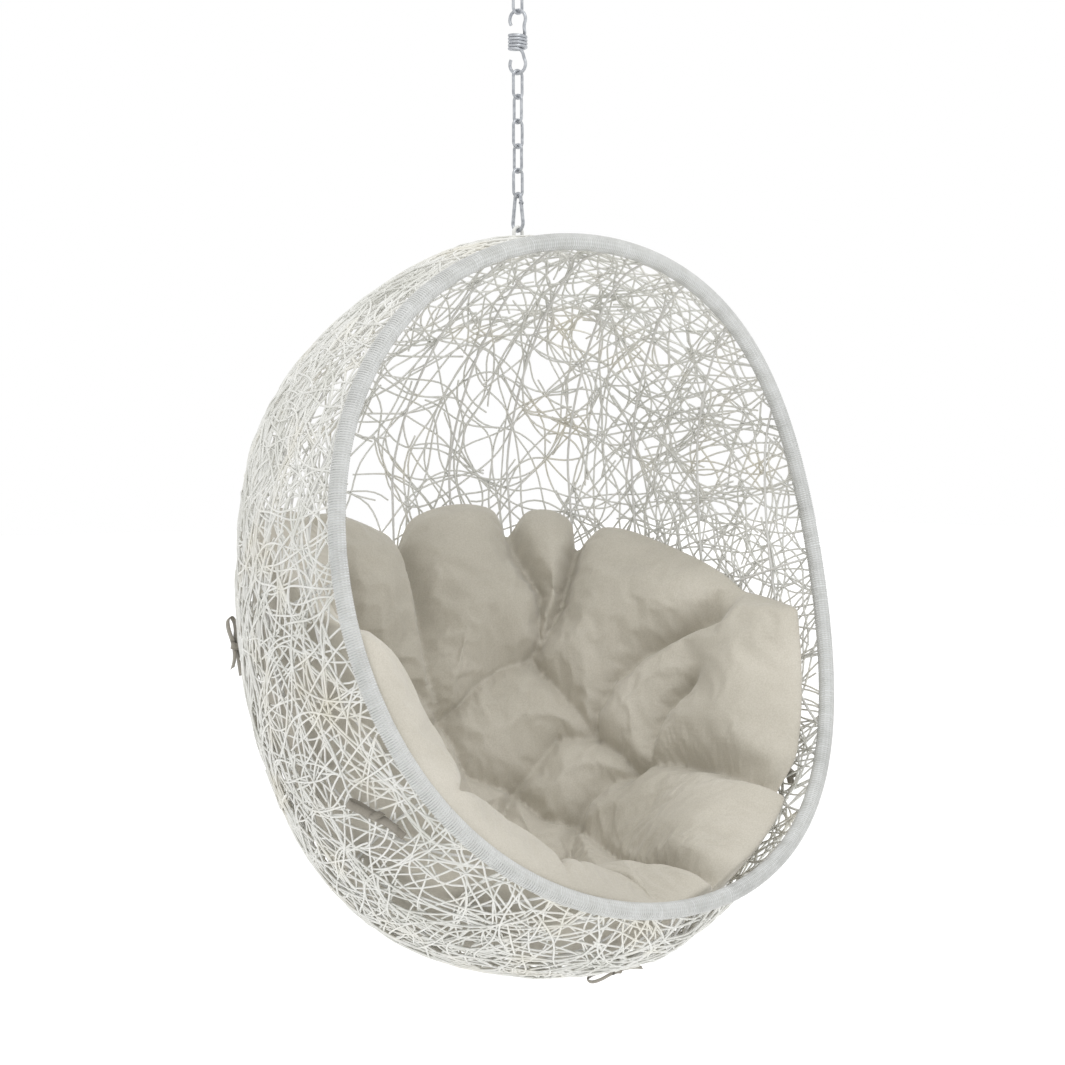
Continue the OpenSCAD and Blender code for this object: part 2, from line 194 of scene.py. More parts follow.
def metal_material(name, light, shade, roughness, metallic):
    """Bright zinc-plated steel: soft reflections, with a cloudy passivated film."""
    material, tree, out = new_material(name)
    place = add_node(tree, "ShaderNodeTexCoord").outputs["Object"]
    film = add_node(tree, "ShaderNodeTexNoise", {"Scale": 120.0, "Detail": 4.0}, {"Vector": place})
    tone = ramp(tree, film.outputs["Fac"], [(0.35, shade), (0.62, light)])
    gloss = add_node(
        tree,
        "ShaderNodeMapRange",
        {"From Min": 0.3, "From Max": 0.7, "To Min": roughness - 0.06, "To Max": roughness + 0.08},
        {"Value": film.outputs["Fac"]},
    )
    grain = add_node(tree, "ShaderNodeTexNoise", {"Scale": 1500.0, "Detail": 2.0}, {"Vector": place})
    bump = add_node(
        tree, "ShaderNodeBump", {"Strength": 0.08, "Distance": 0.0002}, {"Height": grain.outputs["Fac"]}
    )
    shader = add_node(
        tree,
        "ShaderNodeBsdfPrincipled",
        {"Metallic": metallic},
        {"Base Color": tone, "Roughness": gloss.outputs["Result"], "Normal": bump.outputs["Normal"]},
    )
    tree.links.new(shader.outputs[0], out.inputs["Surface"])
    return material


def cloth_material(name, light, mid, shade, thread, sheen):
    """Spun polyester cloth: a plain weave of fine threads, a soft bloom and gentle fading."""
    material, tree, out = new_material(name)
    place = add_node(tree, "ShaderNodeTexCoord").outputs["Object"]
    fade = add_node(tree, "ShaderNodeTexNoise", {"Scale": 5.0, "Detail": 4.0}, {"Vector": place})
    tone = ramp(tree, fade.outputs["Fac"], [(0.3, shade), (0.5, mid), (0.72, light)])
    # Threads are about 0.5 mm apart; drawn at the given spacing so they show
    waves = [
        add_node(
            tree,
            "ShaderNodeTexWave",
            {"bands_direction": axis, "Scale": 1 / (thread * 20), "Distortion": 0.6, "Detail": 1.0},
            {"Vector": place},
        ).outputs["Fac"]
        for axis in ("X", "Z", "Y")
    ]
    over = add_node(tree, "ShaderNodeMath", {"operation": "MAXIMUM"}, {0: waves[0], 1: waves[1]})
    cross = add_node(
        tree, "ShaderNodeMath", {"operation": "ADD"}, {0: over.outputs[0], 1: waves[2]}
    )
    slub = add_node(tree, "ShaderNodeTexNoise", {"Scale": 420.0, "Detail": 3.0}, {"Vector": place})
    height = add_node(
        tree, "ShaderNodeMath", {"operation": "ADD"}, {0: cross.outputs[0], 1: slub.outputs["Fac"]}
    )
    fleck = ramp(tree, slub.outputs["Fac"], [(0.3, "#f0efec"), (0.65, "#ffffff")])
    mixed = add_node(
        tree, "ShaderNodeMix", {"data_type": "RGBA", "blend_type": "MULTIPLY", 0: 1.0}, {6: tone, 7: fleck}
    )
    bump = add_node(
        tree, "ShaderNodeBump", {"Strength": 0.22, "Distance": 0.0006}, {"Height": height.outputs[0]}
    )
    shader = add_node(
        tree,
        "ShaderNodeBsdfPrincipled",
        {"Roughness": 0.82, "Sheen Weight": sheen, "Sheen Roughness": 0.5, "IOR": 1.45},
        {"Base Color": mixed.outputs[2], "Normal": bump.outputs["Normal"]},
    )
    tree.links.new(shader.outputs[0], out.inputs["Surface"])
    return material


# ---------------------------------------------------------------- the basket's surface


def rim_points(angle):
    """Points of the rim's centreline; angle 90 degrees is its top and -90 its foot."""
    angle = np.asarray(angle, float)
    z = RIM_HALF_HEIGHT * np.sin(angle) - RIM_TUCK * np.cos(2 * angle)
    x = np.cos(angle) * (RIM_HALF_WIDTH + RIM_SKEW * np.sin(angle) + RIM_EGG * np.sin(angle) ** 2)
    return np.stack([x, RIM_LEAN * z - RIM_CURL * z * z, z], -1)


def quarter(flat, upright, power):
    """A quarter of a superellipse in the Y-Z plane, from its flat end to its upright end."""
    a = np.linspace(0, math.pi / 2, 25)
    y = upright[0] - (upright[0] - flat[0]) * (1 - np.sin(a) ** (2 / power))
    z = upright[1] + (flat[1] - upright[1]) * np.cos(a) ** (2 / power)
    return np.stack([y, z], -1)


def shares(points):
    """How far along a line of points each one is, from 0 to 1."""
    run = np.concatenate([[0], np.cumsum(np.linalg.norm(np.diff(points, axis=0), axis=1))])
    return run / run[-1]


RIM_TOP, RIM_FOOT = rim_points([math.pi / 2, -math.pi / 2])
MERIDIAN = np.concatenate(
    [
        quarter(CROWN, RIM_TOP[1:], 2)[::-1],
        quarter(CROWN, REAR, ROUND_UP)[1:],
        quarter(BASE, REAR, ROUND_DOWN)[::-1][1:],
        quarter(BASE, RIM_FOOT[1:], ROUND_BASE)[1:],
    ]
)
RIM_SIDE = rim_points(np.radians(90 - 2.0 * np.arange(91)))
RIM_SHARE, MERIDIAN_SHARE = shares(RIM_SIDE), shares(MERIDIAN)


def unit(v):
    """Vectors scaled to length 1."""
    return v / np.maximum(np.linalg.norm(v, axis=-1, keepdims=True), 1e-12)


def basket_points(d):
    """Points of the basket for directions d on the rear half of a unit sphere."""
    t = np.arccos(np.clip(d[..., 2], -1, 1)) / math.pi
    turn = np.arctan2(d[..., 0], d[..., 1])
    out = np.maximum(np.cos(turn), 0) ** ROUND_SIDE
    side = np.sign(turn) * np.abs(np.sin(turn)) ** ROUND_SIDE
    rim = [np.interp(t, RIM_SHARE, RIM_SIDE[:, i]) for i in range(3)]
    back = [np.interp(t, MERIDIAN_SHARE, MERIDIAN[:, i]) for i in range(2)]
    return np.stack(
        [rim[0] * side, rim[1] + (back[0] - rim[1]) * out, rim[2] + (back[1] - rim[2]) * out], -1
    )


def outward(d):
    """The basket's outward normals at directions d."""
    upright = np.where(np.abs(d[..., 2:]) < 0.9, [0.0, 0, 1], [1.0, 0, 0])
    u = unit(np.cross(upright, d))
    v = np.cross(d, u)
    reach = 0.02
    a = basket_points(unit(d + reach * u)) - basket_points(unit(d - reach * u))
    b = basket_points(unit(d + reach * v)) - basket_points(unit(d - reach * v))
    m = unit(np.cross(a, b))
    return m * np.where(np.sum(m * d, -1, keepdims=True) < 0, -1.0, 1.0)


def skin(d, off):
    """Points at a distance outside the basket, in the chair's own frame."""
    d = np.asarray(d, float)
    off = np.asarray(off, float)
    return basket_points(d) + off[..., None] * outward(d) - HANG_POINT


# ---------------------------------------------------------------- makers


def link_piece(name, mesh):
    """A new object with this mesh, in the scene."""
    piece = bpy.data.objects.new(name, mesh)
    bpy.context.scene.collection.objects.link(piece)
    return piece


def rods(name, courses, radius, roundness, closed=False):
    """Round rods along courses of points, as one mesh piece."""
    curve = bpy.data.curves.new(name, "CURVE")
    curve.dimensions = "3D"
    curve.bevel_depth = radius
    curve.bevel_resolution = roundness
    curve.use_fill_caps = not closed
    for course in courses:
        spline = curve.splines.new("POLY")
        spline.points.add(len(course) - 1)
        flat = np.ones((len(course), 4), np.float32)
        flat[:, :3] = course
        spline.points.foreach_set("co", flat.ravel())
        spline.use_cyclic_u = closed
        spline.use_smooth = True
    guide = bpy.data.objects.new(name + "_guide", curve)
    bpy.context.scene.collection.objects.link(guide)
    graph = bpy.context.evaluated_depsgraph_get()
    mesh = bpy.data.meshes.new_from_object(guide.evaluated_get(graph))
    mesh.name = name
    bpy.data.objects.remove(guide)
    bpy.data.curves.remove(curve)
    mesh.shade_smooth()
    return link_piece(name, mesh)


def smoothed(course, rounds, first=0, last=None):
    """A course with its points eased towards their neighbours, between two indices."""
    course = np.array(course, float)
    last = len(course) - 1 if last is None else last
    for _ in range(rounds):
        middle = (course[:-2] + course[2:]) / 2
        eased = course.copy()
        eased[1:-1] = course[1:-1] * 0.5 + middle * 0.5
        course[max(1, first) : last] = eased[max(1, first) : last]
    return course


# ---------------------------------------------------------------- settings


class EggChairWeave(bpy.types.PropertyGroup):
    strand: bpy.props.FloatProperty(
        name="Strand", description="Strand diameter", default=0.0036, unit="LENGTH"
    )
    open_run: bpy.props.FloatProperty(
        name="Open weave", description="Metres of strand per square metre", default=128.0
    )
    extra_run: bpy.props.FloatProperty(
        name="Extra weave", description="Metres of strand per square metre added low down", default=150.0
    )
    seed: bpy.props.IntProperty(name="Seed", description="Which weave is drawn", default=11)
    light: bpy.props.StringProperty(name="Light", description="Strand colour", default="#dededa")
    shade: bpy.props.StringProperty(name="Shade", description="Toned strand", default="#d2d2cc")
    warm: bpy.props.StringProperty(name="Warm", description="Weathered strand", default="#dad6c9")


class EggChairRim(bpy.types.PropertyGroup):
    wrap_across: bpy.props.FloatProperty(
        name="Wrapped rim", description="Rim diameter over the wrap", default=0.0282, unit="LENGTH"
    )
    strand: bpy.props.FloatProperty(
        name="Wrap strand", description="Wrapping strand diameter", default=0.0039, unit="LENGTH"
    )
    pitch: bpy.props.FloatProperty(
        name="Pitch", description="Advance of one turn", default=0.0040, unit="LENGTH"
    )
    # The wrap is the weave's own white strand; these colours are darker than the weave's, a painted shade
    # for the shade between the turns
    light: bpy.props.StringProperty(name="Light", description="Wrap colour", default="#c3c4c2")
    shade: bpy.props.StringProperty(name="Shade", description="Toned wrap", default="#b8b9b7")


class EggChairCushion(bpy.types.PropertyGroup):
    puff: bpy.props.FloatProperty(
        name="Puff", description="How far a lobe stands over its seams", default=0.078, unit="LENGTH"
    )
    seat: bpy.props.FloatProperty(
        name="Seam depth", description="Seams over the basket", default=0.072, unit="LENGTH"
    )
    light: bpy.props.StringProperty(name="Light", description="Cloth colour", default="#cbc6bb")
    mid: bpy.props.StringProperty(name="Middle", description="Cloth colour", default="#c2bdb1")
    shade: bpy.props.StringProperty(name="Shade", description="Cloth colour", default="#b9b4a8")
    ribbon: bpy.props.StringProperty(name="Ribbon", description="Tie colour", default="#8f8a80")


class EggChairMetal(bpy.types.PropertyGroup):
    light: bpy.props.StringProperty(name="Light", description="Plated steel", default="#b4b7bb")
    shade: bpy.props.StringProperty(name="Shade", description="Plated steel", default="#979a9f")
    pin: bpy.props.StringProperty(name="Pin", description="Pin steel", default="#4d4e50")


# ---------------------------------------------------------------- weave

SHELL_AREA = 2.5
WEAVE_STEP = 0.025
# Steps that a strand runs each way from its start, in the whole weave and in the lower one
STRAND_STEPS, LOW_STRAND_STEPS = 17, 14
LOW_SHARE = 0.55
START_TRIES = 14
BINS = 14
# Points of strand in one mesh piece
PIECE_POINTS = 13000


def wander(rng, point, heading, reach):
    """Directions from a point along a wandering course, until the rim or `reach` steps."""
    course = [point]
    bends = [(rng.uniform(-6.5, 6.5), rng.uniform(6.0, 24.0), rng.uniform(0, 6.3)) for _ in range(3)]
    run = 0.0
    for _ in range(reach):
        turn = WEAVE_STEP * sum(a * math.sin(w * run + p) for a, w, p in bends)
        side = np.cross(point, heading)
        heading = heading * math.cos(turn) + side * math.sin(turn)
        onward = point * math.cos(WEAVE_STEP) + heading * math.sin(WEAVE_STEP)
        heading = heading * math.cos(WEAVE_STEP) - point * math.sin(WEAVE_STEP)
        run += WEAVE_STEP
        if onward[1] < 0:
            share = point[1] / (point[1] - onward[1])
            edge = point + (onward - point) * share
            course.append(edge / np.linalg.norm(edge))
            break
        point = onward / np.linalg.norm(onward)
        heading = heading - point * np.dot(heading, point)
        heading = heading / np.linalg.norm(heading)
        course.append(point)
    return course


def anywhere(d):
    return True


def low_zone(d):
    """The lower half of the shell and the band next to the rim, where the weave is closer."""
    return d[2] < -0.1 or d[1] < 0.45


def random_direction(rng):
    """An even choice among the directions of the rear half of a sphere."""
    z = rng.uniform(-1, 1)
    turn = rng.uniform(-math.pi / 2, math.pi / 2)
    r = math.sqrt(1 - z * z)
    return np.array([r * math.sin(turn), r * math.cos(turn), z])


def cell(d):
    """The cell of the half-sphere that holds direction d; all cells are equally large."""
    row = min(BINS - 1, int((d[2] + 1) / 2 * BINS))
    column = min(BINS - 1, int((math.atan2(d[0], d[1]) / math.pi + 0.5) * BINS))
    return row, column


def weave_courses(rng, wanted, reach, zone, filled):
    """Strands that start where the weave is thin and run both ways, until their length is as wanted."""
    courses, total = [], 0.0
    while total < wanted:
        tries = [d for d in (random_direction(rng) for _ in range(START_TRIES)) if zone(d)]
        if not tries:
            continue
        start = min(tries, key=lambda d: filled[cell(d)])
        side = unit(np.cross(start, [rng.gauss(0, 1), rng.gauss(0, 1), rng.gauss(0, 1)]))
        course = np.array(wander(rng, start, side, reach)[::-1] + wander(rng, start, -side, reach)[1:])
        if len(course) < 5:
            continue
        for d in course:
            filled[cell(d)] += 1
        depth = rng.uniform(-0.0016, 0.0016)
        waves = rng.uniform(0.35, 0.7)
        phase = rng.uniform(0, 6.3)
        off = depth + 0.0018 * np.sin(phase + waves * np.arange(len(course)))
        inside = np.clip(course[:, 1] / 0.04, 0, 1)
        points = skin(course, off * inside)
        total += float(np.linalg.norm(np.diff(points, axis=0), axis=1).sum())
        courses.append(points)
    return courses


class EGGCHAIR_OT_weave(bpy.types.Operator):
    """Weaves the shell from crossing strands that wander over it and end at the rim or in the weave"""

    bl_idname = "eggchair.weave"
    bl_label = "Weave"

    def execute(self, context):
        look = context.scene.egg_weave
        rng = random.Random(look.seed)
        white = strand_material("polyethylene_strand", look.light, look.shade, look.warm)
        filled = np.zeros((BINS, BINS))
        whole = weave_courses(rng, SHELL_AREA * look.open_run, STRAND_STEPS, anywhere, filled)
        wanted = SHELL_AREA * LOW_SHARE * look.extra_run
        lower = weave_courses(rng, wanted, LOW_STRAND_STEPS, low_zone, filled)
        courses = whole + lower
        rng.shuffle(courses)
        group, count, index = [], 0, 1
        for course in courses + [None]:
            if course is None or count + len(course) > PIECE_POINTS:
                piece = rods(f"woven_strands_{index}", group, look.strand / 2, 1)
                dress(piece, white)
                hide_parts("woven_shell")
                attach(piece, "basket")
                group, count, index = [], 0, index + 1
            if course is not None:
                group.append(course)
                count += len(course)
        return {"FINISHED"}


# ---------------------------------------------------------------- rim

POINTS_PER_TURN = 14
# A few turns lie further apart, as they do where a hand has wound them
LOOSE_TURNS, LOOSE_GAP = 70, 0.22

class EGGCHAIR_OT_rim(bpy.types.Operator):
    """Winds one strand round the rim tube"""

    bl_idname = "eggchair.rim"
    bl_label = "Wrapped rim"

    def execute(self, context):
        look = context.scene.egg_rim
        angle = np.radians(np.linspace(-90, 270, 1441))
        line = rim_points(angle)
        run = np.concatenate([[0], np.cumsum(np.linalg.norm(np.diff(line, axis=0), axis=1))])
        turns = int(run[-1] / look.pitch)
        rng = random.Random(5)
        advance = np.array([rng.uniform(0.96, 1.0) for _ in range(turns)])
        loose = rng.sample(range(turns), LOOSE_TURNS)
        advance[loose] += LOOSE_GAP
        place = np.concatenate([[0], np.cumsum(advance)])
        place = place / place[-1] * run[-1]
        step = np.arange(turns * POINTS_PER_TURN) / POINTS_PER_TURN
        along = np.interp(step, np.arange(turns + 1), place)
        middle = np.stack([np.interp(along, run, line[:, i]) for i in range(3)], -1)
        tangent = unit(
            np.stack([np.interp(along + 1e-3, run, line[:, i], period=run[-1]) for i in range(3)], -1)
            - np.stack([np.interp(along - 1e-3, run, line[:, i], period=run[-1]) for i in range(3)], -1)
        )
        side = unit(np.cross(tangent, [0.0, 1, 0]))
        up = np.cross(tangent, side)
        reach = (look.wrap_across - look.strand) / 2
        spin = 2 * math.pi * step[:, None]
        course = middle + reach * (np.cos(spin) * side + np.sin(spin) * up) - HANG_POINT
        piece = rods("rim_winding", [course], look.strand / 2, 1)
        # The wrap's darker colours are painted shade for the shade between its turns
        dress(piece, strand_material("wound_strand_painted_shade", look.light, look.shade, look.light))
        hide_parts("rim_wrap")
        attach(piece, "basket")
        dress(NODES["rim_bar"], coated_material("rim_tube_coat", "#d4d6d6", "#c8caca"))
        return {"FINISHED"}


# ---------------------------------------------------------------- ribs and rings

RIB_OFF, RING_OFF = -0.0085, -0.0165
RIB_FIRST, RIB_PITCH = 5.5, 13.0
ROD_RADIUS = 0.00225
# Each ring's height, as a share of the way from the basket's top to its foot
RINGS = (("ring_rod_upper", 0.49), ("ring_rod_lower", 0.7))


def rib_directions(side, k, count):
    """Directions along one rib: it lies in an upright plane that fans out from the rim's middle."""
    turn = math.radians(RIB_FIRST + RIB_PITCH * (k - 1))
    start = 0.015 + 0.985 * (1 - math.cos(0.97 * turn))
    line = np.array([math.sin(turn) - start, math.cos(turn)])
    r0 = math.hypot(start + 0.004 / line[1] * line[0], 0.004)
    z = -np.sin(math.asin(math.sqrt(1 - r0 * r0)) * np.linspace(-1, 1, count))
    r = np.sqrt(1 - z * z)
    b, c, q = start * line[0], start * start - r * r, line @ line
    s = (-b + np.sqrt(np.maximum(0, b * b - q * c))) / q
    return unit(np.stack([side * (start + s * line[0]), s * line[1], z], -1))


class EGGCHAIR_OT_ribs(bpy.types.Operator):
    """Bends the ribs and the ring rods to the shell"""

    bl_idname = "eggchair.ribs"
    bl_label = "Ribs and rings"

    def execute(self, context):
        coat = coated_material("rod_powder_coat", "#d9d9d6", "#cfcecb")
        for side, word in ((-1, "left"), (1, "right")):
            for k in range(1, 8):
                d = rib_directions(side, k, 72)
                ease = np.clip(d[:, 1] / 0.05, 0, 1)
                piece = rods(f"rib_rod_{word}_{k}", [skin(d, RIB_OFF * ease)], ROD_RADIUS, 3)
                dress(piece, coat)
                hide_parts(f"rib_{word}_{k}")
                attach(piece, "basket")
        for name, t in RINGS:
            a = np.radians(np.linspace(-89, 89, 80))
            low = math.sin(math.pi * t)
            d = np.stack([np.sin(a) * low, np.cos(a) * low, np.full_like(a, math.cos(math.pi * t))], -1)
            ease = np.clip(d[:, 1] / 0.06, 0, 1)
            piece = rods(name.replace("rod", "hoop"), [skin(d, RING_OFF * ease)], ROD_RADIUS, 3)
            dress(piece, coat)
            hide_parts(name)
            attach(piece, "basket")
        for node in ("crown_plate", "hanging_eye"):
            dress(NODES[node], coat)
        return {"FINISHED"}


# ---------------------------------------------------------------- suspension

SPRING_WIRE = 0.0055
SPRING_RADIUS = 0.0139
HOOK_RADIUS = 0.0155
SPRING_AZIMUTH = math.radians(-73)
COIL_TURNS = 5.0


def hook_bend(start, end, middle_z):
    """A hook's round bend, from one angle in degrees to another."""
    a = np.radians(np.linspace(start, end, 44))
    return np.stack([HOOK_RADIUS * np.cos(a), 0 * a, middle_z + HOOK_RADIUS * np.sin(a)], -1)


class EGGCHAIR_OT_suspension(bpy.types.Operator):
    """Coils the spring and plates the chain and the snap hook"""

    bl_idname = "eggchair.suspension"
    bl_label = "Suspension"

    def execute(self, context):
        look = context.scene.egg_metal
        plated = metal_material("zinc_plated_steel", look.light, look.shade, 0.34, 0.55)
        pin = metal_material("bare_pin_steel", look.pin, "#38393a", 0.35, 0.9)
        for node in LINKS + ["snap_hook", "snap_gate"]:
            dress(NODES[node], plated)
        for node in ("gate_pin", "gate_spring"):
            dress(NODES[node], pin)

        upper_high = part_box("spring_upper_hook")[1]
        lower_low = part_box("spring_lower_hook")[0]
        coil_low, coil_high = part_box("spring_coil")
        top_ring = upper_high.z - SPRING_WIRE / 2 - HOOK_RADIUS
        foot_ring = lower_low.z + SPRING_WIRE / 2 + HOOK_RADIUS
        rise = coil_high.z - coil_low.z
        turn = np.linspace(0, 2 * math.pi * COIL_TURNS, int(COIL_TURNS * 28))
        helix = np.stack(
            [
                SPRING_RADIUS * np.cos(turn),
                SPRING_RADIUS * np.sin(turn),
                coil_high.z - SPRING_WIRE * 0.35 - (rise - SPRING_WIRE * 0.7) * turn / turn[-1],
            ],
            -1,
        )
        upper, lower = hook_bend(212, -52, top_ring), hook_bend(52, -212, foot_ring)
        course = np.concatenate([upper, helix, lower])
        course = smoothed(course, 14, len(upper) - 6, len(upper) + 7)
        join = len(upper) + len(helix)
        course = smoothed(course, 14, join - 7, join + 6)
        c, s = math.cos(SPRING_AZIMUTH), math.sin(SPRING_AZIMUTH)
        course = course @ np.array([[c, s, 0], [-s, c, 0], [0, 0, 1.0]])
        spring = rods("extension_spring", [course], SPRING_WIRE / 2, 4)
        dress(spring, plated)
        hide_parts("spring_upper_hook", "spring_coil", "spring_lower_hook")
        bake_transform(spring)
        return {"FINISHED"}


# ---------------------------------------------------------------- cushion

PAD_TILT = math.radians(45)
PAD_BACK = 0.021
# How far the pad reaches up the back and to the sides, in degrees from its middle
REACH_UP, REACH_SIDE = 66.5, 84.0
RIM_MARGIN = math.radians(1.0)

# How far a deep seam pulls the filling down, and how wide its flanks and a lobe's shoulders are
SEAM_DEPTH = 0.68
SEAM_FLANK, LOBE_SHOULDER = 12.5, 17.0

# Tufts and seams, in degrees across (x) and up (y) the pad from its middle
REAR_TUFT, FAR_TUFT, RIGHT_TUFT, LOW_RIGHT_TUFT = (7, 35), (36, 37), (45, 14), (47, -1)
INNER_TUFT, FRONT_TUFT, LEFT_TUFT, LOW_LEFT_TUFT = (21, 18), (30, 3), (-24, 24), (-28, 0)
TUFTS = (
    REAR_TUFT,
    FAR_TUFT,
    RIGHT_TUFT,
    LOW_RIGHT_TUFT,
    INNER_TUFT,
    FRONT_TUFT,
    LEFT_TUFT,
    LOW_LEFT_TUFT,
    (-10, -18),
)
# Each seam: how deep it is sewn, from 0 to 1, and its course
SEAMS = [
    (1.0, [REAR_TUFT, (17, 38.5), (27, 39), FAR_TUFT]),
    (1.0, [FAR_TUFT, (41, 28), (44, 21), RIGHT_TUFT]),
    (1.0, [RIGHT_TUFT, (47.5, 6), LOW_RIGHT_TUFT]),
    (1.0, [RIGHT_TUFT, (37, 20), (29, 19), INNER_TUFT]),
    (1.0, [REAR_TUFT, (9, 25), INNER_TUFT]),
    (1.0, [LOW_RIGHT_TUFT, (42, 3), (36, 4), FRONT_TUFT]),
    (1.0, [INNER_TUFT, (24, 9), FRONT_TUFT]),
    (1.0, [FAR_TUFT, (39, 38), (43, 47), (38, 57), (37, 72)]),
    (1.0, [FAR_TUFT, (40, 38), (48, 41.5), (54, 48), (59, 55)]),
    (1.0, [RIGHT_TUFT, (48, 17), (55, 19), (64, 17), (78, 9)]),
    (0.8, [LOW_RIGHT_TUFT, (50, -3), (54, 0), (60, 1.5), (66, 0)]),
    (1.0, [LOW_RIGHT_TUFT, (50, -3), (52, -9), (53, -21), (50, -33), (47, -44)]),
    (1.0, [REAR_TUFT, (5, 42), (5, 50), (5, 58), (4, 75)]),
    (1.0, [REAR_TUFT, (2, 40), (-6, 43), (-17, 52), (-26, 72)]),
    (0.85, [FRONT_TUFT, (28, -8), (22, -22), (16, -48)]),
    (1.0, [LEFT_TUFT, (-10, 32), REAR_TUFT]),
    (1.0, [LEFT_TUFT, (-29, 12), LOW_LEFT_TUFT]),
    (1.0, [LOW_LEFT_TUFT, (-22, -12), (-10, -16)]),
    (1.0, [(-10, -16), (10, -10), FRONT_TUFT]),
    (0.7, [LEFT_TUFT, (-42, 36), (-64, 47)]),
    (0.6, [LOW_LEFT_TUFT, (-46, 4), (-76, 8)]),
    (0.6, [LOW_LEFT_TUFT, (-42, -16), (-58, -34)]),
    (0.55, [(-10, -16), (-20, -32), (-28, -50)]),
    (0.5, [(-10, -16), (-4, -30), (0, -50)]),
    (1.0, [INNER_TUFT, (0, 8), LOW_LEFT_TUFT]),
]


def pad_direction(x, y):
    """Directions for places across and up the pad, in degrees from its middle."""
    r = np.radians(np.hypot(x, y))
    a = np.arctan2(y, x)
    s, c = np.sin(r), np.cos(r)
    p, q = math.cos(PAD_TILT), math.sin(PAD_TILT)
    return np.stack([s * np.cos(a), c * p + s * np.sin(a) * q, -c * q + s * np.sin(a) * p], -1)


def pad_edge(a):
    """How far the pad reaches along angle a, in degrees: a round pad cut short by the rim."""
    p, q = math.cos(PAD_TILT), math.sin(PAD_TILT) * np.sin(a)
    h = np.hypot(p, q)
    room = np.degrees(np.arctan2(q, p) + np.arccos(math.sin(RIM_MARGIN) / h))
    # The pad reaches less far up the back than to the sides
    reach = REACH_UP + (REACH_SIDE - REACH_UP) * np.abs(np.cos(a)) ** 1.3
    # Each lobe swells out past the line between its neighbours' seams
    lobe = seam_fields(reach * np.cos(a), reach * np.sin(a), LOBE_SHOULDER)[0]
    return np.minimum(reach * (0.925 + 0.075 * lobe), room)


def seam_fields(x, y, wide):
    """How full the pad is, 1 away from every seam, and the distance to the nearest deep seam."""
    place = np.stack([x, y], -1)
    full, near = np.ones(x.shape), np.full(x.shape, 1e3)
    for depth, seam in SEAMS:
        best = np.full(x.shape, 1e3)
        for a, b in zip(seam[:-1], seam[1:]):
            a, b = np.array(a, float), np.array(b, float)
            ab = b - a
            t = np.clip(((place - a) @ ab) / (ab @ ab), 0, 1)
            best = np.minimum(best, np.linalg.norm(place - a - t[..., None] * ab, axis=-1))
        crown = np.sqrt(np.clip(1 - (1 - np.minimum(best / wide, 1)) ** 2.2, 0, 1))
        full = np.minimum(full, 1 - SEAM_DEPTH * depth * (1 - crown))
        if depth > 0.75:
            near = np.minimum(near, best)
    return full, near


def tuft_distance(x, y):
    """Distance to the nearest tuft, in degrees."""
    best = np.full(x.shape, 1e3)
    for tx, ty in TUFTS:
        best = np.minimum(best, np.hypot(x - tx, y - ty))
    return best


def shape_cushion(mesh, look):
    """Moves an even ball's vertices into the tufted pad; returns how firmly each is sewn, and its place."""
    count = len(mesh.vertices)
    ball = np.zeros(count * 3)
    mesh.vertices.foreach_get("co", ball)
    ball = unit(ball.reshape(-1, 3))
    tip = np.degrees(np.arccos(np.clip(ball[:, 2], -1, 1)))
    angle = np.arctan2(ball[:, 1], ball[:, 0])
    top = tip <= 90
    share = np.where(top, tip, 180 - tip) / 90
    # Crowds the vertices a little towards the rolled edge
    share = 1 - (1 - share) ** 1.08
    edge = pad_edge(angle)
    x, y = share * edge * np.cos(angle), share * edge * np.sin(angle)
    full, seam = seam_fields(x, y, SEAM_FLANK)
    tuft = tuft_distance(x, y)
    roll = np.sqrt(np.clip(1 - share**9, 0, 1))
    notch = 1 - 0.4 * np.exp(-((seam / 2.2) ** 2)) * np.clip((share - 0.6) / 0.4, 0, 1)
    # The lobes next to the rim at the front are the fullest
    near_edge = np.clip((share - 0.45) / 0.3, 0, 1)
    front = near_edge * np.clip((12 - y) / 30, 0, 1) * np.clip((20 - x) / 40, 0, 1)
    height = look.seat - 0.02 * np.exp(-((tuft / 3.0) ** 2)) + (look.puff + 0.026 * front) * full
    inner = -(PAD_BACK + (height - PAD_BACK) * roll * notch)
    outer = -(PAD_BACK + 0.004 + 0.012 * (1 - roll))
    off = np.where(top, np.minimum(inner, -PAD_BACK - 0.016), outer)
    pull = 1 - 0.05 * np.exp(-((seam / 2.5) ** 2)) * np.clip((share - 0.7) / 0.3, 0, 1)
    points = skin(pad_direction(x * pull, y * pull), off)
    mesh.vertices.foreach_set("co", points.ravel())
    mesh.update()
    sewn = np.where(top, np.clip(1.4 - seam / 1.3, 0, 1), 1.0)
    return np.where(share > 0.985, 1.0, sewn), points


